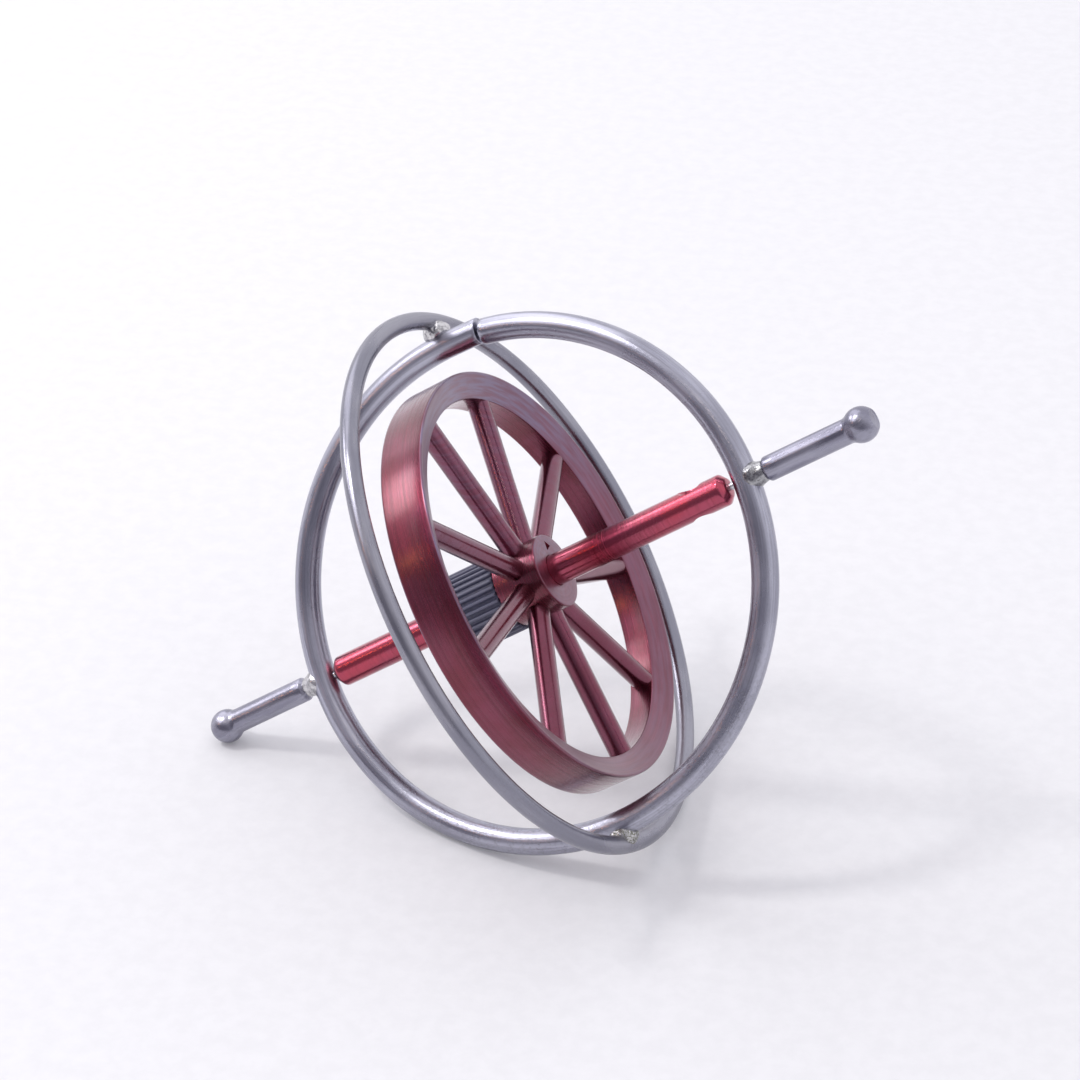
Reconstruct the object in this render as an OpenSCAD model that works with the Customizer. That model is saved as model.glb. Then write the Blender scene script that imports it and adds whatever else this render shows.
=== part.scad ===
// Ring gyroscope: a spoked flywheel on an axle, spinning inside two crossed wire rings with
// ball-ended spindles. It is drawn about its own axle (axle along X, axle ring in the XZ plane,
// guard ring and flywheel in the YZ plane) and then laid on the table as it comes to rest: on the
// left ball, on the guard ring and on the axle ring.

/* [Rings] */
// Radius of the axle ring, at the middle of its wire
ring_radius = 30.5; // [29.5:0.25:33]
// Thickness of the axle ring's wire
ring_wire = 3.2; // [2.8:0.1:3.6]
// Thickness of the guard ring's wire
guard_wire = 2.2; // [1.6:0.1:2.8]
// How deep the guard ring is notched where it sits on the axle ring at the lower weld
guard_seat = 0.3; // [0.1:0.05:0.5]
// How far the guard ring's middle lies above the axle ring's, towards the upper weld
guard_rise = 0.55; // [0.2:0.05:0.6]
// Turn of the guard ring out of the flywheel's plane, about the line through both welds
guard_twist = -0.75; // [-3:0.25:3]
// Open slit where the two ends of the axle ring's wire meet
ring_slit = 0.45; // [0.2:0.05:0.8]
// Where that slit lies, in degrees from the right spindle towards the upper weld
slit_angle = 79; // [70:1:84]
// Radius of the weld metal where the rings cross
ring_weld_radius = 2.1; // [1.8:0.1:2.4]

/* [Spindles] */
// Thickness of the spindle rods
spindle_d = 3; // [2.6:0.1:3.4]
// Thickness of the spindle's neck, where it enters the axle ring
neck_d = 2.2; // [1.8:0.1:2.4]
// Distance from the middle of the gyroscope to the middle of a ball
spindle_reach = 45.8; // [43:0.2:50]
// Diameter of the ball at the end of a spindle
ball_d = 4.2; // [3.8:0.1:5]
// Diameter of the flat on the far side of the ball
ball_flat_d = 2.6; // [1.6:0.1:3]
// Radius of the weld metal round the foot of a spindle
foot_weld_radius = 2.1; // [1.8:0.1:2.4]

/* [Flywheel] */
// Outer diameter of the rim
wheel_d = 51.7; // [46:0.1:54]
// Width of the rim's outer face
rim_width = 6; // [5.6:0.1:7]
// Radial thickness of the rim
rim_depth = 3; // [2.5:0.1:4.5]
// How far the sloping faces of the rim run in towards its middle
rim_slope = 1.4; // [0.4:0.1:1.5]
// Diameter of the round spokes
spoke_d = 2.7; // [2:0.1:2.9]
// Diameter of the hub
hub_d = 9.1; // [8.8:0.1:11]
// Length of the hub along the axle
hub_length = 6.2; // [5:0.1:8]
// Distance from the middle of the gyroscope to the middle of the rim
wheel_shift = 0.7; // [0:0.05:2]
// How far the hub and the spokes lie to the right of the rim's middle
hub_shift = 0.2; // [0:0.05:0.5]
// Turn of the first spoke in the resting position
spoke_turn = 4; // [0:1:39]

/* [Axle] */
// Diameter of the axle
axle_d = 3.8; // [3.4:0.1:4.4]
// Gap between the end of the axle and the inside of the axle ring
axle_gap = 0.6; // [0.4:0.05:1.2]
// Size of the chamfer at the ends of the axle
axle_chamfer = 0.7; // [0.3:0.05:0.9]
// Diameter of the cross hole that takes the pull cord
cord_hole_d = 2; // [1.2:0.1:2.4]
// Diameter of the hollow worn and cut round the mouths of the cord hole
cord_mouth_d = 3; // [2.6:0.1:3.2]
// Distance from the middle of the gyroscope to the cord hole
cord_hole_place = 23.8; // [20:0.1:24]
// Turn of the cord hole in the resting position
cord_hole_turn = 108; // [0:1:179]

/* [Pivots] */
// Diameter of the steel pivot pins
pivot_d = 0.9; // [0.7:0.05:1.2]
// Free space round a pivot in the axle ring
pivot_clearance = 0.05; // [0.02:0.01:0.08]
// Free space between the point of a pivot and the end of its spindle
end_play = 0.3; // [0.15:0.05:0.5]
// Length of a pivot that is held inside the axle
pivot_grip = 2.4; // [1.5:0.1:2.8]

/* [Drum] */
// Diameter of the ribbed drum over its ribs
drum_d = 9.7; // [9:0.1:12]
// Length of the drum
drum_length = 9.5; // [7:0.1:11]
// Height of the ribs along the drum
rib_height = 0.35; // [0.2:0.05:0.5]
// Number of ribs round the drum
rib_count = 34; // [24:1:40]

/* [Hidden] */

steel_grey = "#9a9aa6";
weld_grey = "#8f8d84";
axle_red = "#b02a3a";
wheel_red = "#7c3044";
drum_blue = "#4a5260";
pivot_steel = "#c8c8ce";

spoke_count = 9;
curve_steps = 96;
wire_steps = 40;
bore_steps = 48;
// A cut runs this far past the face that it opens
past = 1;

// Wires
ring_r = ring_wire / 2;
guard_r = guard_wire / 2;
ring_inside = ring_radius - ring_r;
ring_outside = ring_radius + ring_r;
guard_radius = ring_outside + guard_r - guard_seat + guard_rise;
// Open space between the rings at the upper weld, which the weld metal fills
upper_space = 2 * guard_rise - guard_seat;

// Spindles and pivots
ball_r = ball_d / 2;
neck_r = neck_d / 2;
spindle_r = spindle_d / 2;
ball_flat = sqrt(pow(ball_r, 2) - pow(ball_flat_d / 2, 2));
socket_depth = 0.9;
spindle_foot = ring_outside - socket_depth;
neck_end = ring_outside + 1;
pivot_r = pivot_d / 2;
axle_end = ring_inside - axle_gap;
pivot_tip = spindle_foot - end_play;
pivot_cone = 0.5;

// Flywheel
wheel_r = wheel_d / 2;
rim_inside = wheel_r - rim_depth;
hub_r = hub_d / 2;
axle_r = axle_d / 2;
hub_middle = wheel_shift + hub_shift;
hub_back = hub_middle - hub_length / 2;
drum_back = hub_back - drum_length;
// A spoke is let this far into the hub and into the rim, but not so far that spokes meet
spoke_seat = 0.8;
spoke_start = max(hub_r - spoke_seat, spoke_d / 2 / tan(180 / spoke_count) + 0.04);
spoke_end = rim_inside + spoke_seat;

// Resting position: the left ball, the guard ring and the axle ring all touch the table. Each
// function gives a height of the middle above the table, or a part of the downward direction
// (along the axle, across the axle ring, towards the lower weld), for a given sine of the lean.
function ball_height(lean_sin) = spindle_reach * lean_sin + ball_r;
function down_across(lean_sin) = sqrt(1 - pow((ball_height(lean_sin) - ring_r) / ring_radius, 2));
function down_lower(lean_sin) = sqrt(1 - pow(lean_sin, 2) - pow(down_across(lean_sin), 2));
function down_guard_axis(lean_sin) =
    lean_sin * cos(guard_twist) - down_across(lean_sin) * sin(guard_twist);
function guard_height(lean_sin) =
    guard_radius * sqrt(1 - pow(down_guard_axis(lean_sin), 2)) + guard_r - guard_rise * down_lower(lean_sin);
// Steps towards the lean at which the ball and the guard ring give the same height
function settle(lean_sin, steps) =
    steps == 0
        ? lean_sin
        : settle((lean_sin + (guard_height(lean_sin) - ball_r) / spindle_reach) / 2, steps - 1);
rest_sin = settle(0.57, 24);
rest_height = ball_height(rest_sin);
rest_lean = asin(rest_sin);
rest_roll = asin(down_across(rest_sin) / cos(rest_lean));

// Lays the gyroscope on the table
module at_rest() {
    translate([0, 0, rest_height])
        rotate([0, -rest_lean, 0])
            rotate([-rest_roll, 0, 0])
                children();
}

// Turns a shape that stands on the XY plane so that it runs along +X from x = start
module along_axle(start = 0) {
    translate([start, 0, 0])
        rotate([0, 90, 0])
            children();
}

// The right-hand form as drawn, or turned half round for the left-hand side
module on_side(side) {
    rotate([0, side == "left" ? 180 : 0, 0])
        children();
}

// Wire bent to a ring in the XY plane, open by the angle that is given
module wire_ring(radius, wire, open_angle = 0) {
    rotate_extrude(angle = 360 - open_angle, $fn = curve_steps)
        translate([radius, 0])
            circle(d = wire, $fn = wire_steps);
}

// The axle ring's wire as a closed ring, for cutting seats that fit it
module axle_ring_wire() {
    rotate([90, 0, 0])
        wire_ring(ring_radius, ring_wire);
}

// The guard ring's wire as a closed ring
module guard_ring_wire() {
    translate([0, 0, guard_rise])
        rotate([0, 90, guard_twist])
            wire_ring(guard_radius, guard_wire);
}

// Thick wire ring that carries both pivots and both spindles. Its ends meet beside the upper weld.
module axle_ring() {
    open_angle = ring_slit / ring_radius * 180 / PI;
    color(steel_grey)
        at_rest()
            difference() {
                rotate([90, 0, 0])
                    rotate([0, 0, slit_angle + open_angle / 2])
                        wire_ring(ring_radius, ring_wire, open_angle);
                for (side = ["left", "right"])
                    on_side(side) {
                        along_axle(ring_inside - past)
                            cylinder(r = pivot_r + pivot_clearance, h = spindle_foot - ring_inside + 2 * past,
                                $fn = bore_steps);
                        along_axle(spindle_foot)
                            cylinder(r = neck_r, h = socket_depth + past, $fn = bore_steps);
                    }
            }
}

// Thinner ring round the flywheel's plane, notched to sit on the axle ring at the lower weld
module guard_ring() {
    color(steel_grey)
        at_rest()
            difference() {
                guard_ring_wire();
                translate([0, 0, -ring_radius])
                    along_axle(-guard_wire)
                        cylinder(r = ring_r, h = 2 * guard_wire, $fn = bore_steps);
            }
}

// Rod with a ball end, standing on its foot: neck, cone, rod, then a flared ball with a flat
module spindle(side) {
    cone = spindle_r - neck_r;
    flare_r = 1.2;
    // The flare is an arc that touches the rod and the ball from outside
    flare_y = spindle_r + flare_r;
    flare_x = -sqrt(pow(ball_r + flare_r, 2) - pow(flare_y, 2));
    touch = ball_r / (ball_r + flare_r);
    flare_end = atan2(flare_y * touch - flare_y, flare_x * touch - flare_x);
    arc_steps = 8;
    flare = [
        for (step = [0:arc_steps])
            let (turn = -90 + (flare_end + 90) * step / arc_steps)
                [flare_y + flare_r * sin(turn), spindle_reach + flare_x + flare_r * cos(turn)]
    ];
    color(steel_grey)
        at_rest()
            on_side(side)
                along_axle()
                    union() {
                        translate([0, 0, spindle_foot])
                            cylinder(r = neck_r, h = neck_end - spindle_foot, $fn = bore_steps);
                        translate([0, 0, neck_end])
                            cylinder(r1 = neck_r, r2 = spindle_r, h = cone, $fn = bore_steps);
                        translate([0, 0, neck_end + cone])
                            cylinder(r = spindle_r, h = spindle_reach + flare_x - neck_end - cone,
                                $fn = bore_steps);
                        rotate_extrude($fn = bore_steps)
                            polygon(concat(
                                [[0, spindle_reach + flare_x]],
                                flare,
                                [[0, flare[arc_steps][1]]]
                            ));
                        difference() {
                            translate([0, 0, spindle_reach])
                                sphere(r = ball_r, $fn = bore_steps);
                            translate([-ball_d, -ball_d, spindle_reach + ball_flat])
                                cube([2 * ball_d, 2 * ball_d, ball_d]);
                        }
                    }
}

// Collar of weld metal round the neck of a spindle, hollowed to the axle ring's wire
module spindle_weld(side) {
    tip_r = neck_r + 0.25;
    color(weld_grey)
        at_rest()
            difference() {
                on_side(side)
                    along_axle()
                        rotate_extrude($fn = bore_steps)
                            polygon([
                                [neck_r, ring_radius + 0.6],
                                [foot_weld_radius, ring_radius + 0.6],
                                [foot_weld_radius, ring_radius + 1],
                                [tip_r + 0.15, neck_end - 0.3],
                                [tip_r, neck_end],
                                [neck_r, neck_end]
                            ]);
                axle_ring_wire();
            }
}

// Bead of weld metal where the guard ring crosses the axle ring, at a height along the weld line
module ring_weld(height) {
    color(weld_grey)
        at_rest()
            difference() {
                translate([0, 0, height])
                    sphere(r = ring_weld_radius, $fn = bore_steps);
                axle_ring_wire();
                guard_ring_wire();
            }
}

// Axle with chamfered ends, the cord hole across it and a blind hole for each pivot
module axle() {
    hollow_depth = (pow(cord_mouth_d / 2, 2) - pow(cord_hole_d / 2, 2)) / cord_mouth_d;
    color(axle_red)
        at_rest()
            difference() {
                along_axle()
                    rotate_extrude($fn = bore_steps)
                        polygon([
                            [0, -axle_end],
                            [axle_r - axle_chamfer, -axle_end],
                            [axle_r, axle_chamfer - axle_end],
                            [axle_r, axle_end - axle_chamfer],
                            [axle_r - axle_chamfer, axle_end],
                            [0, axle_end]
                        ]);
                translate([cord_hole_place, 0, 0])
                    rotate([cord_hole_turn - 90, 0, 0]) {
                        translate([0, 0, -axle_d])
                            cylinder(d = cord_hole_d, h = 2 * axle_d, $fn = bore_steps);
                        for (mouth = [-1, 1])
                            rotate([mouth * 90 - 90, 0, 0])
                                translate([0, 0, axle_r - hollow_depth])
                                    cylinder(d1 = cord_hole_d, d2 = cord_mouth_d + hollow_depth,
                                        h = 2 * hollow_depth, $fn = bore_steps);
                    }
                for (side = ["left", "right"])
                    on_side(side)
                        along_axle(axle_end - pivot_grip)
                            cylinder(r = pivot_r, h = pivot_grip + past, $fn = bore_steps);
            }
}

// Steel pin with a blunt point, held in the end of the axle
module pivot(side) {
    color(pivot_steel)
        at_rest()
            on_side(side)
                along_axle(axle_end - pivot_grip) {
                    cylinder(r = pivot_r, h = pivot_tip - pivot_cone - axle_end + pivot_grip,
                        $fn = bore_steps);
                    translate([0, 0, pivot_tip - pivot_cone - axle_end + pivot_grip])
                        cylinder(r1 = pivot_r, r2 = pivot_r / 4, h = pivot_cone, $fn = bore_steps);
                }
}

// Drum with ribs along it, pushed on the axle behind the hub
module ribbed_drum() {
    rib_turn = 360 / rib_count;
    root_r = drum_d / 2 - rib_height;
    // Each rib is a flat-topped tooth: its foot takes 0.7 of the pitch and its top 0.35
    outline = [
        for (rib = [0:rib_count - 1])
            for (corner = [[-0.35, 0], [-0.175, rib_height], [0.175, rib_height], [0.35, 0]])
                let (turn = (rib + corner[0]) * rib_turn, r = root_r + corner[1])
                    [r * cos(turn), r * sin(turn)]
    ];
    color(drum_blue)
        at_rest()
            along_axle(drum_back)
                difference() {
                    linear_extrude(height = drum_length)
                        polygon(outline);
                    translate([0, 0, -past])
                        cylinder(r = axle_r, h = drum_length + 2 * past, $fn = bore_steps);
                }
}

// Places a shape once for each spoke, or for one spoke when its number is given
module at_spoke(number) {
    translate([hub_middle, 0, 0])
        rotate([spoke_turn + (number - 1) * 360 / spoke_count, 0, 0])
            children();
}

// Round spoke along +Y, from inside the hub to inside the rim
module spoke_rod() {
    translate([0, spoke_start, 0])
        rotate([-90, 0, 0])
            cylinder(d = spoke_d, h = spoke_end - spoke_start, $fn = bore_steps);
}

// Hub with a blind socket for each spoke
module flywheel_hub() {
    edge = 0.25;
    color(wheel_red)
        at_rest()
            difference() {
                along_axle()
                    rotate_extrude($fn = curve_steps)
                        polygon([
                            [axle_r, hub_back],
                            [hub_r - edge, hub_back],
                            [hub_r, hub_back + edge],
                            [hub_r, hub_back + hub_length - edge],
                            [hub_r - edge, hub_back + hub_length],
                            [axle_r, hub_back + hub_length]
                        ]);
                for (number = [1:spoke_count])
                    at_spoke(number)
                        spoke_rod();
            }
}

// Rim with sloping side faces and a blind socket for each spoke
module flywheel_rim() {
    half = rim_width / 2;
    edge = 0.3;
    color(wheel_red)
        at_rest()
            difference() {
                along_axle(wheel_shift)
                    rotate_extrude($fn = curve_steps)
                        polygon([
                            [rim_inside, rim_slope - half],
                            [wheel_r - edge, -half],
                            [wheel_r, edge - half],
                            [wheel_r, half - edge],
                            [wheel_r - edge, half],
                            [rim_inside, half - rim_slope]
                        ]);
                for (number = [1:spoke_count])
                    at_spoke(number)
                        spoke_rod();
            }
}

// One of the nine round spokes
module spoke(number) {
    color(wheel_red)
        at_rest()
            at_spoke(number)
                spoke_rod();
}

axle_ring();
guard_ring();
spindle("left");  // left_spindle
spindle("right");  // right_spindle
spindle_weld("left");  // left_spindle_weld
spindle_weld("right");  // right_spindle_weld
ring_weld(ring_outside + upper_space / 2);  // upper_ring_weld
ring_weld(-ring_outside);  // lower_ring_weld
axle();
pivot("left");  // left_pivot
pivot("right");  // right_pivot
ribbed_drum();
flywheel_hub();
flywheel_rim();
spoke(1);  // spoke_1
spoke(2);  // spoke_2
spoke(3);  // spoke_3
spoke(4);  // spoke_4
spoke(5);  // spoke_5
spoke(6);  // spoke_6
spoke(7);  // spoke_7
spoke(8);  // spoke_8
spoke(9);  // spoke_9
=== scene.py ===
# %% [markdown]
# # A ring gyroscope lying on a table
#
# The real object is a toy of bent steel wire and red anodised metal: two crossed wire rings, two
# ball-ended spindles, and a spoked flywheel on an axle that turns inside them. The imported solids
# already hold every size. In this lesson each solid gets a finer skin, a finish and a light that
# show it as it is. Everything is worked out in the gyroscope's own space first (millimetres,
# axle along X) and laid on the table at the end, because round things are easiest to describe
# about their own axis.

import math

import bmesh
import bpy
from mathutils import Matrix, Vector, noise


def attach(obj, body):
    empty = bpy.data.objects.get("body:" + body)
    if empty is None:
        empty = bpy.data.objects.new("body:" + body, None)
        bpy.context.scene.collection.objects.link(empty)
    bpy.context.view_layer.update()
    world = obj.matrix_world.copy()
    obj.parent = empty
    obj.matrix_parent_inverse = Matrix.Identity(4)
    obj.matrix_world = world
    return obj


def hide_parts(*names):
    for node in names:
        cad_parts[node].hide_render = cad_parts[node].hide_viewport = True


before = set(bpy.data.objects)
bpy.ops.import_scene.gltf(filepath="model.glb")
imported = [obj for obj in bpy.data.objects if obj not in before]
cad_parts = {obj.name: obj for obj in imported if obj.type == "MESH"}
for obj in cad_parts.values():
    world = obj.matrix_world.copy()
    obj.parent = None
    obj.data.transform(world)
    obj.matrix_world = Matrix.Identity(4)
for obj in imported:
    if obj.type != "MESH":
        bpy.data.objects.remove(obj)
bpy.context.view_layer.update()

# %% [markdown]
# ## How it comes to rest
#
# The gyroscope touches the table with the left ball, the thin guard ring and the thick axle
# ring. Those three contacts fix how far it leans. The same steps as in the part's source find
# the lean here, and REST then carries a point from the gyroscope's own space to the table.

# %% Sizes in millimetres and the resting position
MM = 0.001
RING_R, RING_WIRE = 30.5, 1.6
GUARD_WIRE, GUARD_SEAT, GUARD_RISE, GUARD_TURN = 1.1, 0.3, 0.55, math.radians(-0.75)
GUARD_R = RING_R + RING_WIRE + GUARD_WIRE - GUARD_SEAT + GUARD_RISE
REACH, BALL_R = 45.8, 2.1
FIRST_GUESS, ROUNDS = 0.57, 24

lean_sin = FIRST_GUESS
for _ in range(ROUNDS):
    height = REACH * lean_sin + BALL_R
    across = math.sqrt(1 - ((height - RING_WIRE) / RING_R) ** 2)
    lower = math.sqrt(1 - lean_sin**2 - across**2)
    along = lean_sin * math.cos(GUARD_TURN) - across * math.sin(GUARD_TURN)
    guard_height = GUARD_R * math.sqrt(1 - along**2) + GUARD_WIRE - GUARD_RISE * lower
    lean_sin = (lean_sin + (guard_height - BALL_R) / REACH) / 2
lean = math.asin(lean_sin)
roll = math.asin(across / math.cos(lean))
TURN = Matrix.Rotation(-lean, 4, "Y") @ Matrix.Rotation(-roll, 4, "X")
REST = Matrix.Translation((0, 0, height / 1000)) @ TURN @ Matrix.Scale(MM, 4)
print(f"lean {math.degrees(lean):.2f}, roll {math.degrees(roll):.2f}, middle {height:.2f} mm up")

# %% [markdown]
# ## Tools for round pieces
#
# A lathe turns a profile about the axle, and a wire bender carries a circle along an arc. Both
# are written with bmesh, so that every ring of points is known and the poles and ends close
# properly. Each point also keeps where it lies along and around its wire, in an attribute, so
# that a finish can follow the metal however it is bent.


# %% A lathe, a smooth corner and a way to finish a piece
def lathe(profile, steps, closed=False, axis_turn=None):
    """Points (along, radius) turned about X. A radius of 0 closes to a pole."""
    bm = bmesh.new()
    place = bm.verts.layers.float_vector.new("wire_place")
    rows = []
    for x, r in profile:
        row = []
        for k in range(1 if r < 1e-6 else steps):
            t = 2 * math.pi * k / steps
            point = Vector((x, r * math.cos(t), r * math.sin(t)))
            v = bm.verts.new(axis_turn @ point if axis_turn else point)
            v[place] = point
            row.append(v)
        rows.append(row)
    pairs = list(zip(rows, rows[1:] + rows[:1])) if closed else list(zip(rows, rows[1:]))
    for a, b in pairs:
        for k in range(steps):
            corners = [a[k % len(a)], a[(k + 1) % len(a)], b[(k + 1) % len(b)], b[k % len(b)]]
            corners = list(dict.fromkeys(corners))
            if len(corners) > 2:
                bm.faces.new(corners)
    bmesh.ops.recalc_face_normals(bm, faces=bm.faces)
    return bm


def rounded(points, radius, steps):
    """The same closed profile with each corner replaced by an arc."""
    out = []
    for i, corner in enumerate(points):
        c = Vector(corner)
        before = Vector(points[i - 1]) - c
        after = Vector(points[(i + 1) % len(points)]) - c
        half = before.angle(after) / 2
        longest = 0.45 * min(before.length, after.length)
        cut = min(radius / math.tan(half), longest)
        a, b = before.normalized() * cut, after.normalized() * cut
        for k in range(steps + 1):
            t = k / steps
            out.append(tuple(c + a * (1 - t) ** 2 + b * t**2))
    return out


def make_piece(name, bm, body, nodes, materials, sharp=50):
    """Lays the mesh on the table, gives it its finish and ties it to its body."""
    mesh = bpy.data.meshes.new(name)
    bm.to_mesh(mesh)
    bm.free()
    mesh.transform(REST)
    dress(name, mesh, body, nodes, materials, sharp)


def dress(name, mesh, body, nodes, materials, sharp):
    """The same for a mesh already on the table. Edges past `sharp` degrees stay crisp."""
    for m in materials:
        if m.name not in [x.name for x in mesh.materials if x]:
            mesh.materials.append(m)
    mesh.shade_smooth()
    mesh.set_sharp_from_angle(angle=math.radians(sharp))
    piece = bpy.data.objects.new(name, mesh)
    bpy.context.scene.collection.objects.link(piece)
    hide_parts(*nodes)
    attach(piece, body)
    print(f"{name}: {len(mesh.polygons)} faces")


# %% [markdown]
# ## Finishes
#
# The metal is seen at close range, so each finish has grain, worn places and a changing gloss.
# Object coordinates are measured from the table, so a Mapping node first turns them back to the
# gyroscope's own space. Noise that is long one way and short the other then gives drawing lines
# along a wire and turning lines round a wheel.


# %% Short hands for building node trees
def new_finish(name):
    material = bpy.data.materials.new(name)
    material.use_nodes = True
    tree = material.node_tree
    tree.nodes.clear()
    out = tree.nodes.new("ShaderNodeOutputMaterial")
    shader = tree.nodes.new("ShaderNodeBsdfPrincipled")
    tree.links.new(shader.outputs[0], out.inputs[0])
    return material, tree, shader


def put(tree, kind, inputs=(), **settings):
    """A node with its settings, and its inputs given as numbers or as other nodes' outputs."""
    node = tree.nodes.new(kind)
    for key, value in settings.items():
        setattr(node, key, value)
    for key, value in dict(inputs).items():
        if isinstance(value, bpy.types.NodeSocket):
            tree.links.new(value, node.inputs[key])
        else:
            node.inputs[key].default_value = value
    return node


def calc(tree, operation, a, b=0.0, c=0.0):
    return put(tree, "ShaderNodeMath", {0: a, 1: b, 2: c}, operation=operation).outputs[0]


def vmul(tree, a, b):
    return put(tree, "ShaderNodeVectorMath", {0: a, 1: b}, operation="MULTIPLY").outputs[0]


def ramp(tree, value, low, high, out_low=0.0, out_high=1.0):
    inputs = {0: value, 1: low, 2: high, 3: out_low, 4: out_high}
    return put(tree, "ShaderNodeMapRange", inputs, interpolation_type="SMOOTHSTEP").outputs[0]


def grain(tree, vector, scale, detail, rough=0.55):
    inputs = {"Vector": vector, "Scale": scale, "Detail": detail, "Roughness": rough}
    return put(tree, "ShaderNodeTexNoise", inputs).outputs[0]


def blend(tree, factor, a, b):
    """Two colours, or sockets that carry them, mixed by a factor."""
    node = put(tree, "ShaderNodeMix", data_type="RGBA")
    for index, value in ((0, factor), (6, a), (7, b)):
        if isinstance(value, bpy.types.NodeSocket):
            tree.links.new(value, node.inputs[index])
        else:
            node.inputs[index].default_value = value if index == 0 else (*value, 1)
    return node.outputs[2]


def bump(tree, height, strength, distance):
    inputs = {"Height": height, "Strength": strength, "Distance": distance}
    return put(tree, "ShaderNodeBump", inputs).outputs[0]


def own_space(tree):
    """Object coordinates turned back to the gyroscope's own space, in millimetres."""
    coordinates = put(tree, "ShaderNodeTexCoord").outputs["Object"]
    rest = {
        "Vector": coordinates,
        "Location": REST.to_translation(),
        "Rotation": TURN.to_euler(),
        "Scale": (MM, MM, MM),
    }
    return put(tree, "ShaderNodeMapping", rest, vector_type="TEXTURE").outputs[0]


def axis_and_radius(tree, place):
    """How far along the axle and how far out from it a point lies."""
    xyz = put(tree, "ShaderNodeSeparateXYZ", {0: place}).outputs
    radius = calc(tree, "SQRT", calc(tree, "ADD", calc(tree, "MULTIPLY", xyz[1], xyz[1]),
                                     calc(tree, "MULTIPLY", xyz[2], xyz[2])))
    return xyz, radius


# %% [markdown]
# ### Drawn steel wire
#
# The rings and spindles are plated steel wire that has gone a little grey. Drawing leaves fine
# lines along the wire, handling dulls it in patches, and the lower part of the thick ring is
# pitted. One recipe serves all of them, with an amount of pitting for each and the two greys of
# its dull and its bright patches.


# %% Drawn steel
LINE_GREY, SPECKLE_GREY, PIT_BROWN = (0.23, 0.225, 0.27), (0.2, 0.195, 0.21), (0.075, 0.065, 0.06)
PITS_BEGIN, PITS_FULL = -12.0, -27.0


def wire_steel(name, pitting, dark, light):
    material, tree, shader = new_finish(name)
    trace = put(tree, "ShaderNodeAttribute", attribute_name="wire_place").outputs["Vector"]
    place = own_space(tree)
    xyz = put(tree, "ShaderNodeSeparateXYZ", {0: place}).outputs
    patches = grain(tree, vmul(tree, trace, (0.11, 0.4, 0.4)), 1.0, 4.0, 0.5)
    lines = grain(tree, vmul(tree, trace, (0.06, 2.6, 2.6)), 1.6, 3.0, 0.6)
    mottle = grain(tree, place, 2.4, 6.0, 0.65)
    low_part = ramp(tree, xyz[2], PITS_BEGIN, PITS_FULL)
    pit_seed = grain(tree, place, 2.6, 5.0, 0.7)
    pit_edge = calc(tree, "MULTIPLY_ADD", low_part, -0.08 * pitting, 0.74)
    pits = ramp(tree, pit_seed, pit_edge, calc(tree, "ADD", pit_edge, 0.04))
    steel = blend(tree, ramp(tree, patches, 0.35, 0.65), dark, light)
    steel = blend(tree, ramp(tree, lines, 0.4, 0.65, 0.0, 0.45), steel, LINE_GREY)
    speckle = calc(tree, "MULTIPLY_ADD", low_part, 0.3 * pitting, 0.1)
    speckle = calc(tree, "MULTIPLY", speckle, ramp(tree, mottle, 0.45, 0.7))
    steel = blend(tree, speckle, steel, SPECKLE_GREY)
    steel = blend(tree, calc(tree, "MULTIPLY", pits, 0.75), steel, PIT_BROWN)
    tree.links.new(steel, shader.inputs["Base Color"])
    shader.inputs["Metallic"].default_value = 1.0
    rough_value = calc(tree, "ADD", ramp(tree, patches, 0.3, 0.7, 0.22, 0.32),
                       calc(tree, "MULTIPLY", pits, 0.3))
    tree.links.new(rough_value, shader.inputs["Roughness"])
    height = calc(tree, "MULTIPLY_ADD", pits, -0.8, calc(tree, "MULTIPLY", lines, 0.4))
    height = calc(tree, "MULTIPLY_ADD", speckle, calc(tree, "MULTIPLY", mottle, 1.2), height)
    tree.links.new(bump(tree, height, 0.35, 0.0001), shader.inputs["Normal"])
    return material


RING_STEEL = wire_steel("ring_steel", 1.0, (0.36, 0.36, 0.43), (0.47, 0.47, 0.55))
GUARD_STEEL = wire_steel("guard_steel", 0.4, (0.25, 0.25, 0.30), (0.34, 0.335, 0.385))
SPINDLE_STEEL = wire_steel("spindle_steel", 0.3, (0.25, 0.245, 0.31), (0.39, 0.385, 0.46))

# %% [markdown]
# ### Weld metal
#
# Where pieces are joined the metal is lumpy, with dirt here and there. Its tops carry a painted
# highlight and its hollows painted shade: the mix follows a coarse noise, and the same noise
# drives the bump so colour and shape agree. The foot of the right spindle is darker, and the lower
# weld dirtier.


# %% Weld metal
def weld_metal(name, dirt, dirt_colour, painted_shade_hollow=(0.30, 0.295, 0.31), painted_highlight_top=(0.66, 0.65, 0.66)):
    material, tree, shader = new_finish(name)
    place = own_space(tree)
    lumps = grain(tree, place, 1.3, 6.0, 0.65)
    grit = grain(tree, place, 5.0, 6.0, 0.7)
    # Painted shade in the hollows and a painted highlight on the tops, following the lumps of the
    # bump.
    metal = blend(tree, ramp(tree, lumps, 0.35, 0.6), painted_shade_hollow, painted_highlight_top)
    soiled = ramp(tree, grit, 0.62 - 0.3 * dirt, 0.72 - 0.2 * dirt)
    tree.links.new(blend(tree, soiled, metal, dirt_colour), shader.inputs["Base Color"])
    tree.links.new(calc(tree, "SUBTRACT", 1.0, calc(tree, "MULTIPLY", soiled, 0.8)),
                   shader.inputs["Metallic"])
    tree.links.new(calc(tree, "MULTIPLY_ADD", soiled, 0.4, 0.2), shader.inputs["Roughness"])
    height = calc(tree, "MULTIPLY_ADD", grit, 0.2, lumps)
    tree.links.new(bump(tree, height, 0.35, 0.0002), shader.inputs["Normal"])
    return material


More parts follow.
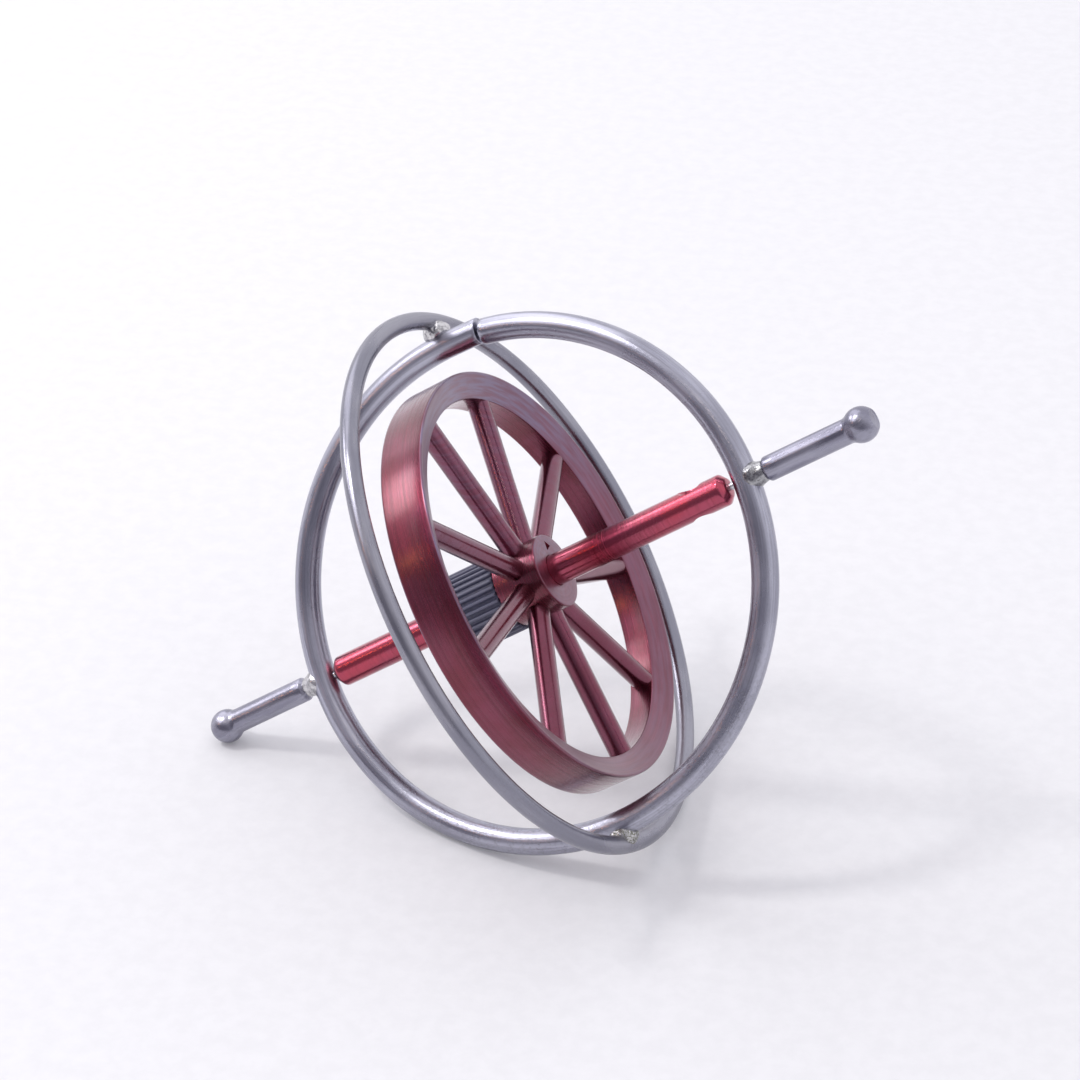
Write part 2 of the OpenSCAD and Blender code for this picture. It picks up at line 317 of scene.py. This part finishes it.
WELD_BRIGHT = weld_metal("weld_bright", 0.05, (0.09, 0.085, 0.08))
WELD_DARK = weld_metal("weld_dark", 0.2, (0.07, 0.065, 0.06), painted_shade_hollow=(0.13, 0.125, 0.145),
                       painted_highlight_top=(0.4, 0.4, 0.41))
WELD_DIRTY = weld_metal("weld_dirty", 0.6, (0.12, 0.125, 0.075))

# %% [markdown]
# ### Red anodised metal
#
# The wheel and the axle are metal with a clear red skin, so each finish is coloured metal under a
# clear coat. The tool that turned them left lines round the axle, so the noise is read only along
# the axle and outwards from it: points on one circle share one value. On a spoke the same noise
# makes rings round the rod, which draw a lamp out to a thin glint. Flat faces are duller and
# greyer than the outer face of the rim. Their grey-purple bloom lies in streaks round the axle:
# dividing by the radius leaves only the direction of a point, so the noise runs long round the
# wheel and short across it. Towards the upper side of the wheel much more grey-purple is painted
# in, a painted sheen of the bright surroundings over the real bloom.


# %% Red anodised metal
BLOOM_AND_SHEEN_PURPLE, BARE_METAL = (0.19, 0.135, 0.22), (0.45, 0.35, 0.39)
SHEEN_BEGINS, SHEEN_FULL = -6.0, 20.0


def red_metal(name, base, other, rough, turning, line_scale=3.0, grey=(0.0, 0.0), wear=0.3):
    """grey is the grey-purple on the upper side of the wheel, there partly painted sheen, and on
    the other.
    """
    material, tree, shader = new_finish(name)
    place = own_space(tree)
    xyz, radius = axis_and_radius(tree, place)
    circle = put(tree, "ShaderNodeCombineXYZ", {0: xyz[0], 1: radius, 2: 0.0}).outputs[0]
    lines = grain(tree, circle, line_scale, 4.0, 0.7)
    cloud = grain(tree, place, 0.22, 3.0, 0.5)
    speck = grain(tree, place, 3.2, 6.0, 0.7)
    colour = blend(tree, ramp(tree, cloud, 0.35, 0.65), base, other)
    colour = blend(tree, ramp(tree, lines, 0.35, 0.7, 0.0, 0.4), colour,
                   tuple(c * 0.55 for c in base))
    around = put(tree, "ShaderNodeCombineXYZ", {
        0: calc(tree, "MULTIPLY_ADD", radius, 1.5, xyz[0]),
        1: calc(tree, "DIVIDE", xyz[1], radius),
        2: calc(tree, "DIVIDE", xyz[2], radius),
    }).outputs[0]
    streak = grain(tree, vmul(tree, around, (1.0, 4.0, 4.0)), 1.3, 3.0, 0.55)
    # Painted sheen: the grey-purple grows towards the upper side of the wheel.
    upwards = calc(tree, "MULTIPLY_ADD", xyz[1], -0.5, xyz[2])
    sheen_side = ramp(tree, upwards, SHEEN_BEGINS, SHEEN_FULL, grey[1], grey[0])
    bloom_and_sheen = calc(tree, "MULTIPLY", sheen_side, ramp(tree, streak, 0.35, 0.65, 0.35, 1.0))
    colour = blend(tree, bloom_and_sheen, colour, BLOOM_AND_SHEEN_PURPLE)
    bare = ramp(tree, speck, 0.76 - 0.1 * wear, 0.80 - 0.1 * wear)
    colour = blend(tree, calc(tree, "MULTIPLY", bare, 0.7), colour, BARE_METAL)
    rough_value = calc(tree, "ADD", ramp(tree, lines, 0.3, 0.7, rough - 0.04, rough + 0.06),
                       calc(tree, "MULTIPLY", bare, 0.15))
    height = calc(tree, "MULTIPLY", lines, turning)
    height = calc(tree, "MULTIPLY_ADD", speck, 0.1, height)
    tree.links.new(colour, shader.inputs["Base Color"])
    tree.links.new(rough_value, shader.inputs["Roughness"])
    shader.inputs["Metallic"].default_value = 1.0
    shader.inputs["Coat Weight"].default_value = 0.9
    shader.inputs["Coat Roughness"].default_value = rough * 0.8
    tree.links.new(bump(tree, height, 0.4, 0.0001), shader.inputs["Normal"])
    return material


RIM_RED = red_metal("rim_red", (0.165, 0.014, 0.034), (0.20, 0.028, 0.062), 0.26, 1.2)
FACE_RED = red_metal("face_red", (0.17, 0.030, 0.058), (0.20, 0.045, 0.08), 0.38, 0.7,
                     grey=(1.0, 0.3), wear=0.5)
SPOKE_RED = red_metal("spoke_red", (0.16, 0.017, 0.045), (0.19, 0.031, 0.068), 0.22, 0.4, 5.0,
                      grey=(0.3, 0.05))
AXLE_RED = red_metal("axle_red", (0.46, 0.042, 0.082), (0.38, 0.045, 0.095), 0.22, 0.4, wear=0.8)

# %% [markdown]
# ### Drum and pivots
#
# The ribbed drum is a dark, slate-blue moulding with a soft shine, paler towards the crests of its
# ribs. The pivots are bright ground steel.

# %% Drum plastic and pivot steel
DRUM_BLUE, tree, shader = new_finish("drum_blue")
place = own_space(tree)
_, radius = axis_and_radius(tree, place)
dust = grain(tree, place, 2.2, 6.0, 0.65)
# Paler towards the crests of the ribs.
rib_crests = ramp(tree, radius, 4.62, 4.86)
slate = blend(tree, ramp(tree, dust, 0.35, 0.7), (0.056, 0.059, 0.106), (0.09, 0.092, 0.15))
slate = blend(tree, calc(tree, "MULTIPLY", rib_crests, 0.6), slate, (0.17, 0.17, 0.235))
tree.links.new(slate, shader.inputs["Base Color"])
tree.links.new(ramp(tree, dust, 0.3, 0.7, 0.36, 0.55), shader.inputs["Roughness"])
tree.links.new(bump(tree, dust, 0.25, 0.0001), shader.inputs["Normal"])

PIVOT_STEEL, tree, shader = new_finish("pivot_steel")
place = own_space(tree)
xyz, radius = axis_and_radius(tree, place)
circle = put(tree, "ShaderNodeCombineXYZ", {0: xyz[0], 1: radius, 2: 0.0}).outputs[0]
ground = grain(tree, circle, 14.0, 3.0)
tree.links.new(blend(tree, ground, (0.50, 0.50, 0.53), (0.72, 0.72, 0.74)),
               shader.inputs["Base Color"])
tree.links.new(ramp(tree, ground, 0.3, 0.7, 0.16, 0.3), shader.inputs["Roughness"])
tree.links.new(bump(tree, ground, 0.2, 0.00004), shader.inputs["Normal"])
shader.inputs["Metallic"].default_value = 1.0
print("finishes:", len(bpy.data.materials))

# %% [markdown]
# ## The two wire rings
#
# Each ring is one length of wire bent round until its ends meet. The axle ring's ends meet
# beside the upper weld with a fine open slit, and one end stands a little proud of the other.
# The wire bender takes a start and an end angle, closes both ends with a small rounded edge, and
# lets the wire wander by a few hundredths of a millimetre, as bent wire does.


# %% A wire bender
END_EDGE, WANDER, BENDS = 0.12, 0.05, 2.2


def bent_wire(centre, out, side, radius, wire, start, end, seed, offset=None):
    """A wire along an arc. centre(t), out(t) and side(t) give the middle and two directions."""
    bm = bmesh.new()
    place = bm.verts.layers.float_vector.new("wire_place")
    closed = abs(end - start) > 2 * math.pi - 1e-6
    around, steps = 40, 300
    edge = END_EDGE / radius
    stations = [start + (end - start) * k / steps for k in range(steps + (0 if closed else 1))]
    shrink = {}
    if not closed:
        stations = [start, start + edge * 0.3, start + edge] + stations[1:-1]
        stations += [end - edge, end - edge * 0.3, end]
        shrink = {0: 0.915, 1: 0.972, len(stations) - 1: 0.915, len(stations) - 2: 0.972}
    rows = []
    for i, t in enumerate(stations):
        bend = Vector((math.cos(t) * BENDS, math.sin(t) * BENDS, seed))
        wander = noise.noise(bend) * WANDER
        more = offset(t) if offset else 0.0
        row = []
        for k in range(around):
            p = 2 * math.pi * k / around
            r = wire * shrink.get(i, 1.0)
            a, b = r * math.cos(p), r * math.sin(p)
            point = centre(t) + out(t) * (radius + a + wander + more)
            point += side(t) * (b + wander * 0.6)
            v = bm.verts.new(point)
            v[place] = (radius * t, a, b)
            row.append(v)
        rows.append(row)
    joined = list(zip(rows, rows[1:] + rows[:1])) if closed else list(zip(rows, rows[1:]))
    for a, b in joined:
        for k in range(around):
            n = (k + 1) % around
            bm.faces.new((a[k], a[n], b[n], b[k]))
    if not closed:
        bm.faces.new(rows[0][::-1])
        bm.faces.new(rows[-1])
    bmesh.ops.recalc_face_normals(bm, faces=bm.faces)
    return bm


def drill(piece_mesh, cutters):
    """The mesh with each cutter taken out of it."""
    body = bpy.data.objects.new("blank", piece_mesh)
    bpy.context.scene.collection.objects.link(body)
    tools = []
    for bm in cutters:
        mesh = bpy.data.meshes.new("cutter")
        bm.to_mesh(mesh)
        bm.free()
        tool = bpy.data.objects.new("cutter", mesh)
        bpy.context.scene.collection.objects.link(tool)
        tools.append(tool)
        step = body.modifiers.new("cut", "BOOLEAN")
        step.object, step.operation, step.solver = tool, "DIFFERENCE", "EXACT"
    made = body.evaluated_get(bpy.context.evaluated_depsgraph_get())
    cut = bpy.data.meshes.new_from_object(made)
    for o in [body] + tools:
        bpy.data.objects.remove(o)
    return cut


# %% Axle ring with its slit and pivot holes
SLIT, SLIT_WIDTH = math.radians(79), 0.45
LIP, LIP_LENGTH = 0.30, math.radians(8)
BORE_R, BORE_END = 0.5, 31.2
half_slit = SLIT_WIDTH / RING_R / 2


def proud(t):
    """The end beside the upper weld stands out a little from the other end."""
    past = (t - SLIT) / LIP_LENGTH
    return LIP * (1 - past) ** 2 if 0 < past < 1 else 0.0


ring = bent_wire(
    lambda t: Vector((0, 0, 0)),
    lambda t: Vector((math.cos(t), 0, math.sin(t))),
    lambda t: Vector((0, 1, 0)),
    RING_R, RING_WIRE, SLIT + half_slit, SLIT - half_slit + 2 * math.pi, 3.0, proud,
)
blank = bpy.data.meshes.new("ring_blank")
ring.to_mesh(blank)
ring.free()
holes = []
bore = [(28.0, 0), (28.0, 0.85), (28.93, BORE_R), (29.2, BORE_R), (BORE_END, BORE_R),
        (BORE_END, 0)]
for side in (-1, 1):
    holes.append(lathe([(side * x, r) for x, r in bore], 32))
ring_mesh = drill(blank, holes)
ring_mesh.transform(REST)
dress("axle_ring_wire", ring_mesh, "cage", ["axle_ring"], [RING_STEEL], 40)

# %% Guard ring
twist = Matrix.Rotation(GUARD_TURN, 3, "Z")
guard = bent_wire(
    lambda t: Vector((0, 0, GUARD_RISE)),
    lambda t: twist @ Vector((0, math.sin(t), -math.cos(t))),
    lambda t: twist @ Vector((1, 0, 0)),
    GUARD_R, GUARD_WIRE, 0, 2 * math.pi, 11.0,
)
make_piece("guard_ring_wire", guard, "cage", ["guard_ring"], [GUARD_STEEL])

# %% [markdown]
# ## Spindles
#
# Each spindle is a rod turned on a lathe: a narrow neck where it enters the ring, a short cone,
# the rod, a flare and a ball whose far side is flat. A profile of (along, radius) points and the
# lathe are all that it needs; the arcs are worked out so that rod, flare and ball run together.

# %% Spindles
SPINDLE_R, NECK_R, FLARE_R = 1.5, 1.1, 1.2
FOOT, SHOULDER = 31.2, 33.6
FLAT_R, FLAT_EDGE = 1.3, 1.22
flare_y = SPINDLE_R + FLARE_R
flare_x = REACH - math.sqrt((BALL_R + FLARE_R) ** 2 - flare_y**2)
meet = math.atan2(flare_y, REACH - flare_x)
profile = [(FOOT, 0), (FOOT, NECK_R), (33.1, NECK_R), (33.22, NECK_R + 0.06),
           (33.45, SPINDLE_R - 0.05), (SHOULDER, SPINDLE_R)]
profile += [(SHOULDER + k * (flare_x - SHOULDER) / 8, SPINDLE_R) for k in range(1, 9)]
for k in range(1, 9):
    t = math.pi / 2 - (math.pi / 2 - meet) * k / 8
    profile.append((flare_x + FLARE_R * math.cos(t), flare_y - FLARE_R * math.sin(t)))
flat_turn = math.asin(FLAT_EDGE / BALL_R)
for k in range(1, 17):
    t = (math.pi - meet) + (flat_turn - (math.pi - meet)) * k / 16
    profile.append((REACH + BALL_R * math.cos(t), BALL_R * math.sin(t)))
face = REACH + math.sqrt(BALL_R**2 - FLAT_R**2)
profile += [(face - 0.02, 1.14), (face, 1.05), (face, 0.5), (face - 0.04, 0)]
for side, name in ((-1, "left"), (1, "right")):
    rod = lathe([(side * x, r) for x, r in profile], 64)
    make_piece(f"{name}_spindle_rod", rod, "cage", [f"{name}_spindle"],
               [SPINDLE_STEEL], 60)

# %% [markdown]
# ## Weld metal
#
# A bead of weld metal has no exact shape. A closed ball of small faces is stretched to the size
# of the bead and then pushed in and out along its normals by layered noise, which is how a
# sculptor would start. The collars at the feet of the spindles begin on the lathe instead.


# %% Beads and collars
def roughen(bm, amount, scale, seed):
    """Each point moves along its normal by layered noise."""
    bm.normal_update()
    moves = [
        v.normal * amount * noise.fractal(v.co * scale + Vector((seed, 0, seed)), 0.9, 2.1, 4)
        for v in bm.verts
    ]
    for v, move in zip(bm.verts, moves):
        v.co += move


def bead(centre, size, seed, amount, scale):
    """A closed ball stretched to `size` and roughened."""
    bm = bmesh.new()
    bmesh.ops.create_icosphere(bm, subdivisions=5, radius=1.0)
    for v in bm.verts:
        v.co = Vector(c * s for c, s in zip(v.co, size)) + Vector(centre)
    roughen(bm, amount, scale, seed)
    return bm


upper_bead = bead((0.2, -0.1, RING_R + RING_WIRE + 0.4), (1.7, 1.6, 1.35), 4.0, 0.2, 0.8)
make_piece("upper_ring_bead", upper_bead, "cage", ["upper_ring_weld"], [WELD_BRIGHT])
lower_bead = bead((0.1, 0.0, -RING_R - RING_WIRE + 0.1), (1.95, 1.85, 1.4), 9.0, 0.16, 0.6)
make_piece("lower_ring_bead", lower_bead, "cage", ["lower_ring_weld"], [WELD_DIRTY])

collar = [(30.6, 1.0), (30.7, 1.5), (31.3, 1.72), (31.8, 1.66), (32.15, 1.5), (32.5, 1.34),
          (32.9, 1.24), (33.15, 1.18), (33.2, 1.0)]
for side, name, seed, amount, finish in ((-1, "left", 21.0, 0.04, WELD_BRIGHT),
                                         (1, "right", 33.0, 0.05, WELD_DARK)):
    foot = lathe([(side * x, r) for x, r in collar], 64, closed=True)
    bmesh.ops.subdivide_edges(foot, edges=foot.edges, cuts=1, use_grid_fill=True)
    roughen(foot, amount, 1.1, seed)
    make_piece(f"{name}_spindle_collar", foot, "cage", [f"{name}_spindle_weld"],
               [finish])

# %% [markdown]
# ## Axle and pivots
#
# The axle is a turned rod with chamfered ends and one cross hole for the cord, whose mouths are
# hollowed by use. The hole is cut from the lathe's mesh with an exact Boolean, because its
# mouths on a round rod would be awkward to draw by hand. Each pivot is a fine steel pin.

# %% Axle
AXLE_R, AXLE_END = 1.9, 28.3
CORD_HOLE_X, CORD_HOLE_R, CORD_HOLE_TURN = 23.8, 1.0, math.radians(18)
ends = [(AXLE_END, 0), (AXLE_END, 0.9), (AXLE_END - 0.03, 1.14), (AXLE_END - 0.13, 1.27),
        (AXLE_END - 0.58, 1.76), (AXLE_END - 0.72, 1.87), (AXLE_END - 0.9, AXLE_R)]
middle = [(x / 2, AXLE_R) for x in range(54, -55, -1)]
rod = lathe(ends + middle + [(-x, r) for x, r in reversed(ends)], 64)
blank = bpy.data.meshes.new("axle_blank")
rod.to_mesh(blank)
rod.free()
across_axle = (
    Matrix.Translation((CORD_HOLE_X, 0, 0))
    @ Matrix.Rotation(CORD_HOLE_TURN, 4, "X")
    @ Matrix.Rotation(math.radians(-90), 4, "Y")
)
mouth = [(1.3, CORD_HOLE_R), (1.5, 1.12), (1.72, 1.38), (1.95, 1.62), (4, 4.3), (4, 0)]
hole = [(-x, r) for x, r in reversed(mouth)] + mouth
axle_mesh = drill(blank, [lathe(hole, 48, axis_turn=across_axle)])
axle_mesh.transform(REST)
dress("axle_rod", axle_mesh, "rotor", ["axle"], [AXLE_RED], 38)

# %% Pivots
PIVOT_R, PIVOT_START, TIP = 0.45, 26.0, 30.9
pin = [(PIVOT_START, 0), (PIVOT_START, 0.43), (26.05, PIVOT_R), (TIP - 0.5, PIVOT_R),
       (TIP - 0.42, 0.43), (TIP - 0.06, 0.16), (TIP, 0.08), (TIP, 0)]
for side, name in ((-1, "left"), (1, "right")):
    point = lathe([(side * x, r) for x, r in pin], 40)
    make_piece(f"{name}_pivot_pin", point, "rotor", [f"{name}_pivot"],
               [PIVOT_STEEL], 35)

# %% [markdown]
# ## Ribs and spokes with Geometry Nodes
#
# The drum's ribs and the wheel's spokes repeat evenly about the axle. One small tree does both:
# it makes as many points as are asked for, sets the drawn piece on each with one more step of
# turn, and makes the copies real. Its inputs are the number of copies and the turn of the first.


# %% A tree that repeats a piece about the axle
def repeat_tree(finish):
    tree = bpy.data.node_groups.new(f"repeat_about_axle_{finish.name}", "GeometryNodeTree")
    face = tree.interface
    face.new_socket("Geometry", in_out="INPUT", socket_type="NodeSocketGeometry")
    count = face.new_socket("Copies", in_out="INPUT", socket_type="NodeSocketInt")
    first = face.new_socket("First turn", in_out="INPUT", socket_type="NodeSocketFloat")
    face.new_socket("Geometry", in_out="OUTPUT", socket_type="NodeSocketGeometry")
    entry, leave = tree.nodes.new("NodeGroupInput"), tree.nodes.new("NodeGroupOutput")
    points = put(tree, "GeometryNodePoints", {"Count": entry.outputs["Copies"]})
    index = put(tree, "GeometryNodeInputIndex").outputs[0]
    step = calc(tree, "DIVIDE", 2 * math.pi, entry.outputs["Copies"])
    turn = calc(tree, "MULTIPLY_ADD", index, step, entry.outputs["First turn"])
    rotation = put(tree, "ShaderNodeCombineXYZ", {0: turn}).outputs[0]
    copies = put(tree, "GeometryNodeInstanceOnPoints", {
        "Points": points.outputs[0], "Instance": entry.outputs["Geometry"], "Rotation": rotation,
    })
    real = put(tree, "GeometryNodeRealizeInstances", {0: copies.outputs[0]})
    painted = put(tree, "GeometryNodeSetMaterial", {"Geometry": real.outputs[0],
                                                    "Material": finish})
    tree.links.new(painted.outputs[0], leave.inputs[0])
    return tree, count.identifier, first.identifier


def repeated(bm, finish, copies, first_turn):
    """The drawn piece set round the axle as one plain mesh."""
    mesh = bpy.data.meshes.new("drawn")
    bm.to_mesh(mesh)
    bm.free()
    base = bpy.data.objects.new("drawn", mesh)
    bpy.context.scene.collection.objects.link(base)
    tree, count_id, first_id = repeat_tree(finish)
    step = base.modifiers.new("repeat", "NODES")
    step.node_group = tree
    step[count_id] = copies
    step[first_id] = first_turn
    made = base.evaluated_get(bpy.context.evaluated_depsgraph_get())
    result = bpy.data.meshes.new_from_object(made)
    bpy.data.objects.remove(base)
    result.transform(REST)
    return result


# %% Spokes
HUB_MIDDLE, RIM_MIDDLE = 0.9, 0.7
RIM_OUT, RIM_IN, HUB_R, SPOKE_R = 25.85, 22.85, 4.55, 1.35
SPOKES, SPOKE_TURN = 9, math.radians(4)
spoke = [(3.8, 0), (3.8, 1.33), (4.3, 1.36), (4.75, 1.40), (5.3, SPOKE_R)]
spoke += [(5.3 + k * 1.1, SPOKE_R) for k in range(1, 16)]
spoke += [(22.3, SPOKE_R), (22.75, 1.37), (23.1, 1.40), (23.6, 1.40), (23.6, 0)]
lay_out = Matrix.Translation((HUB_MIDDLE, 0, 0)) @ Matrix.Rotation(math.pi / 2, 4, "Z")
spokes = repeated(lathe(spoke, 40, axis_turn=lay_out), SPOKE_RED, SPOKES, SPOKE_TURN)
dress("wheel_spokes", spokes, "rotor", [f"spoke_{k + 1}" for k in range(SPOKES)],
      [SPOKE_RED], 50)

# %% [markdown]
# ## Rim and hub
#
# The rim is turned: an outer face, two sloping side faces and a narrow inner face, all with
# slightly rounded corners. The outer and inner faces are glossy and the side faces are satin, so
# each face takes one of two finishes by the way it looks. The hub is finished the same way, and
# has a small triangular nick in its front.

# %% Rim
HALF_RIM, RIM_SLOPE = 3.0, 1.4
SIDEWAYS = 0.35
rim_profile = [(-HALF_RIM, RIM_OUT), (HALF_RIM, RIM_OUT), (HALF_RIM - RIM_SLOPE, RIM_IN),
               (RIM_SLOPE - HALF_RIM, RIM_IN)]
rim_profile = [(x + RIM_MIDDLE, r) for x, r in rounded(rim_profile, 0.28, 5)]
rim = lathe(rim_profile, 256, closed=True)
rim.normal_update()
for f in rim.faces:
    f.material_index = 0 if abs(f.normal.x) < SIDEWAYS else 1
make_piece("wheel_rim", rim, "rotor", ["flywheel_rim"], [RIM_RED, FACE_RED], 60)

# %% Hub
HALF_HUB, SNUG_R = 3.1, 1.88
hub_profile = [(-HALF_HUB, SNUG_R), (HALF_HUB, SNUG_R), (HALF_HUB, HUB_R), (-HALF_HUB, HUB_R)]
hub_profile = [(x + HUB_MIDDLE, r) for x, r in rounded(hub_profile, 0.22, 4)]
hub = lathe(hub_profile, 128, closed=True)
hub_mesh = bpy.data.meshes.new("hub_blank")
hub.to_mesh(hub_mesh)
hub.free()
nick = bmesh.new()
bmesh.ops.create_cone(nick, cap_ends=True, segments=3, radius1=0.35, radius2=1.35, depth=1.0,
                      matrix=Matrix.Translation((HUB_MIDDLE + HALF_HUB + 0.15, 0.1, 3.1))
                      @ Matrix.Rotation(math.pi / 2, 4, "Y"))
hub_mesh = drill(hub_mesh, [nick])
hub_mesh.materials.append(RIM_RED)
hub_mesh.materials.append(FACE_RED)
for p in hub_mesh.polygons:
    p.material_index = 1 if abs(p.normal.x) > 0.7 else 0
hub_mesh.transform(REST)
dress("wheel_hub", hub_mesh, "rotor", ["flywheel_hub"], [RIM_RED, FACE_RED], 40)

# %% [markdown]
# ## Ribbed drum
#
# A smooth sleeve carries 34 ribs along it. The sleeve comes from the lathe, one rib is drawn as
# a bar with a rounded top and tapered ends, and the tree above sets it round the sleeve.

# %% Drum
DRUM_RIGHT, DRUM_LEFT, ROOT_R, RIBS = -2.2, -11.7, 4.5, 34
sleeve_profile = [(DRUM_LEFT, SNUG_R), (DRUM_RIGHT, SNUG_R), (DRUM_RIGHT, ROOT_R),
                  (DRUM_LEFT, ROOT_R)]
sleeve = lathe(rounded(sleeve_profile, 0.15, 3), 4 * RIBS, closed=True)
rib = bmesh.new()
section = [(-0.27, -0.15), (-0.25, 0.02), (-0.19, 0.24), (-0.11, 0.34), (0, 0.36), (0.11, 0.34),
           (0.19, 0.24), (0.25, 0.02), (0.27, -0.15)]
stations = [(DRUM_RIGHT - 0.02, 0.55), (DRUM_RIGHT - 0.16, 0.95), (DRUM_RIGHT - 0.4, 1.0),
            (DRUM_LEFT + 0.4, 1.0), (DRUM_LEFT + 0.16, 0.95), (DRUM_LEFT + 0.02, 0.55)]
rows = [[rib.verts.new((x, y, ROOT_R + (z * f if z > 0 else z) - 0.01)) for y, z in section]
        for x, f in stations]
for a, b in zip(rows, rows[1:]):
    for k in range(len(section)):
        n = (k + 1) % len(section)
        rib.faces.new((a[k], a[n], b[n], b[k]))
rib.faces.new(rows[0])
rib.faces.new(rows[-1][::-1])
bmesh.ops.recalc_face_normals(rib, faces=rib.faces)
ribs = repeated(rib, DRUM_BLUE, RIBS, 0.0)
both = bmesh.new()
both.from_mesh(ribs)
sleeve_mesh = bpy.data.meshes.new("sleeve")
sleeve.to_mesh(sleeve_mesh)
sleeve.free()
sleeve_mesh.transform(REST)
both.from_mesh(sleeve_mesh)
drum_mesh = bpy.data.meshes.new("drum")
both.to_mesh(drum_mesh)
both.free()
dress("drum_ribbed", drum_mesh, "rotor", ["ribbed_drum"], [DRUM_BLUE], 35)

# %% [markdown]
# ## Table, light and camera
#
# The object lies on a plain white table in soft light. Polished wire only shows what surrounds
# it, so the surroundings matter as much as the lamps: they are white behind and above, and darker
# towards the viewer and a little to the left, which gives every rod a dark middle and pale edges.
# A small lamp high on the left draws the thin shadows of the rings. Three soft windows on the left
# make the pale glints on the rim, the hub, the axle and the wires, a small warm lamp makes the
# orange patch on the rim, and a narrow strip above the viewer makes the glint along the upper
# spoke. The table glows a little, which keeps the shadows on it pale.

# %% Table
floor_bm = bmesh.new()
bmesh.ops.create_grid(floor_bm, x_segments=8, y_segments=8, size=3.0)
floor_mesh = bpy.data.meshes.new("table_top")
floor_bm.to_mesh(floor_mesh)
floor_bm.free()
table = bpy.data.objects.new("table_top", floor_mesh)
bpy.context.scene.collection.objects.link(table)
TABLE_WHITE, tree, shader = new_finish("table_white")
coordinates = put(tree, "ShaderNodeTexCoord").outputs["Object"]
weave = grain(tree, coordinates, 420.0, 5.0, 0.6)
tree.links.new(blend(tree, ramp(tree, weave, 0.3, 0.7), (0.63, 0.63, 0.645), (0.66, 0.66, 0.675)),
               shader.inputs["Base Color"])
shader.inputs["Roughness"].default_value = 0.75
shader.inputs["Specular IOR Level"].default_value = 0.3
shader.inputs["Emission Color"].default_value = (0.98, 0.97, 1.04, 1)
shader.inputs["Emission Strength"].default_value = 0.13
floor_mesh.materials.append(TABLE_WHITE)

# %% Surroundings
DARK_SIDE = Vector((-0.35, -0.93, -0.1))
world = bpy.data.worlds.new("studio")
bpy.context.scene.world = world
world.use_nodes = True
tree = world.node_tree
tree.nodes.clear()
direction = put(tree, "ShaderNodeTexCoord").outputs["Generated"]
facing = put(tree, "ShaderNodeVectorMath", {0: direction, 1: DARK_SIDE},
             operation="DOT_PRODUCT").outputs["Value"]
shade = ramp(tree, facing, -0.2, 0.9)
sky = blend(tree, shade, (1.05, 1.04, 1.09), (0.30, 0.29, 0.34))
backdrop = put(tree, "ShaderNodeBackground", {"Color": sky, "Strength": 1.0})
put(tree, "ShaderNodeOutputWorld", {0: backdrop.outputs[0]})

# %% Lamps
OBJECT_MIDDLE = Vector((0, 0, 0.028))


def lamp(name, place, size, watts, colour, along=(0, 0, 1)):
    """A panel facing the object, the first of its two sizes as near to `along` as can be."""
    data = bpy.data.lights.new(name, "AREA")
    data.shape, data.size, data.size_y = "RECTANGLE", size[0], size[1]
    data.energy, data.color = watts, colour
    o = bpy.data.objects.new(name, data)
    back = (Vector(place) - OBJECT_MIDDLE).normalized()
    across = back.cross(Vector(along).cross(back)).normalized()
    turn = Matrix((across, back.cross(across), back)).transposed()
    o.matrix_world = Matrix.Translation(place) @ turn.to_4x4()
    bpy.context.scene.collection.objects.link(o)


lamp("high_left", (-0.607, -0.052, 0.915), (0.15, 0.15), 3.0, (1.0, 0.98, 0.96))
lamp("window", (-0.77, 0.135, 0.46), (0.16, 0.3), 1.0, (1.0, 0.98, 1.0))
lamp("upper_window", (-0.50, 0.55, 0.68), (0.9, 0.5), 1.5, (1.0, 0.99, 1.02))
lamp("side_window", (-0.70, -0.25, 0.67), (0.36, 0.36), 0.8, (1.0, 0.99, 1.02))
lamp("warm_left", (-0.75, -0.36, 0.36), (0.05, 0.05), 0.11, (1.0, 0.4, 0.15))
lamp("warm_strip", (-0.18, -0.405, 0.80), (0.22, 0.012), 0.10, (1.0, 0.86, 0.72),
     (-0.16, -0.09, -0.08))

# %% Camera
CAMERA_PLACE = (0.05130350, -0.30554690, 0.23994839)
CAMERA_RIGHT = Vector((0.98611372, 0.16591849, 0.00712685))
CAMERA_UP = Vector((-0.09763991, 0.54452704, 0.83304066))
data = bpy.data.cameras.new("camera")
data.sensor_width = 36.0
data.lens = 105.979
data.clip_start, data.clip_end = 0.01, 20.0
camera = bpy.data.objects.new("camera", data)
facing_matrix = Matrix((CAMERA_RIGHT, CAMERA_UP, CAMERA_RIGHT.cross(CAMERA_UP))).transposed()
camera.matrix_world = Matrix.Translation(CAMERA_PLACE) @ facing_matrix.to_4x4()
bpy.context.scene.collection.objects.link(camera)
bpy.context.scene.camera = camera
bpy.context.scene.view_settings.view_transform = "Standard"
